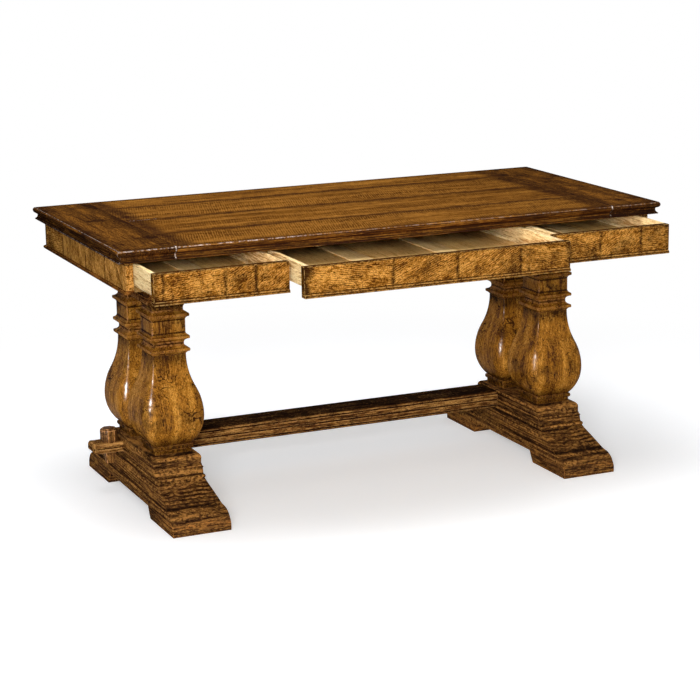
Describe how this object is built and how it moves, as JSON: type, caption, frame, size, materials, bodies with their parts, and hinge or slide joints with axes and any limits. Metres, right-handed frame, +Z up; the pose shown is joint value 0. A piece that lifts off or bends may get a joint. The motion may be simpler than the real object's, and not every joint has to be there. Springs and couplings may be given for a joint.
{
  "type": "refectory desk",
  "caption": "Refectory desk with a moulded plank top, frieze drawers, square vase balusters on sled feet and a pegged stretcher.",
  "frame": {"origin": "on the floor, below the middle of the desk's box with its drawers as shown", "axes": "+X along the desk to the right, +Y from the drawers to the back, +Z up"},
  "size_m": [1.6, 0.9956, 0.78],
  "materials": {
    "plank_oak": "waxed, worn",
    "breadboard_oak": "waxed, worn",
    "front_veneer": "waxed, worn",
    "apron_veneer": "waxed, worn",
    "bead_oak": "waxed, worn",
    "baluster_oak": "waxed, worn",
    "foot_oak": "waxed, worn",
    "bearer_oak": "waxed, worn",
    "stretcher_oak": "waxed, worn",
    "peg_oak": "waxed, worn",
    "dowel_beech": "waxed, worn",
    "drawer_bottom_oak": "waxed, worn",
    "drawer_box_oak": "waxed, worn",
    "carcass_oak": "waxed, worn"
  },
  "bodies": {
    "desk_frame": {"back_apron": "apron_veneer", "back_bead": "bead_oak", "bearer_left": "bearer_oak", "bearer_right": "bearer_oak", "bearer_tenons": "dowel_beech", "breadboard_left": "breadboard_oak", "breadboard_right": "breadboard_oak", "column_back_left": "baluster_oak", "column_back_right": "baluster_oak", "column_front_left": "baluster_oak", "column_front_right": "baluster_oak", "end_apron_left": "apron_veneer", "end_apron_right": "apron_veneer", "end_bead_left": "bead_oak", "end_bead_right": "bead_oak", "foot_left": "foot_oak", "foot_left_pad_back": "foot_oak", "foot_left_pad_front": "foot_oak", "foot_right": "foot_oak", "foot_right_pad_back": "foot_oak", "foot_right_pad_front": "foot_oak", "front_rail": "carcass_oak", "inner_runner_left": "carcass_oak", "inner_runner_right": "carcass_oak", "kickers": "carcass_oak", "outer_runner_left": "carcass_oak", "outer_runner_right": "carcass_oak", "partition_left": "carcass_oak", "partition_right": "carcass_oak", "stretcher": "stretcher_oak", "tie_rail_left": "carcass_oak", "tie_rail_right": "carcass_oak", "top_plank_1": "plank_oak", "top_plank_2": "plank_oak", "top_plank_3": "plank_oak", "top_plank_4": "plank_oak", "top_rail": "carcass_oak", "tusk_pegs": "peg_oak"},
    "drawer_left": {"drawer_left_back": "drawer_box_oak", "drawer_left_bottom": "drawer_bottom_oak", "drawer_left_front": "front_veneer", "drawer_left_muntins": "drawer_bottom_oak", "drawer_left_side_left": "drawer_box_oak", "drawer_left_side_right": "drawer_box_oak", "drawer_left_slips": "drawer_box_oak"},
    "drawer_centre": {"drawer_centre_back": "drawer_box_oak", "drawer_centre_bottom": "drawer_bottom_oak", "drawer_centre_front": "front_veneer", "drawer_centre_muntins": "drawer_bottom_oak", "drawer_centre_side_left": "drawer_box_oak", "drawer_centre_side_right": "drawer_box_oak", "drawer_centre_slips": "drawer_box_oak"},
    "drawer_right": {"drawer_right_back": "drawer_box_oak", "drawer_right_bottom": "drawer_bottom_oak", "drawer_right_front": "front_veneer", "drawer_right_muntins": "drawer_bottom_oak", "drawer_right_side_left": "drawer_box_oak", "drawer_right_side_right": "drawer_box_oak", "drawer_right_slips": "drawer_box_oak"}
  },
  "joints": [
    {"name": "drawer_left_slide", "type": "slide", "parent": "desk_frame", "child": "drawer_left", "axis": [0, -1, 0], "range_m": [-0.148, 0.232]},
    {"name": "drawer_centre_slide", "type": "slide", "parent": "desk_frame", "child": "drawer_centre", "axis": [0, -1, 0], "range_m": [-0.24, 0.14]},
    {"name": "drawer_right_slide", "type": "slide", "parent": "desk_frame", "child": "drawer_right", "axis": [0, -1, 0], "range_m": [-0.148, 0.232]}
  ]
}
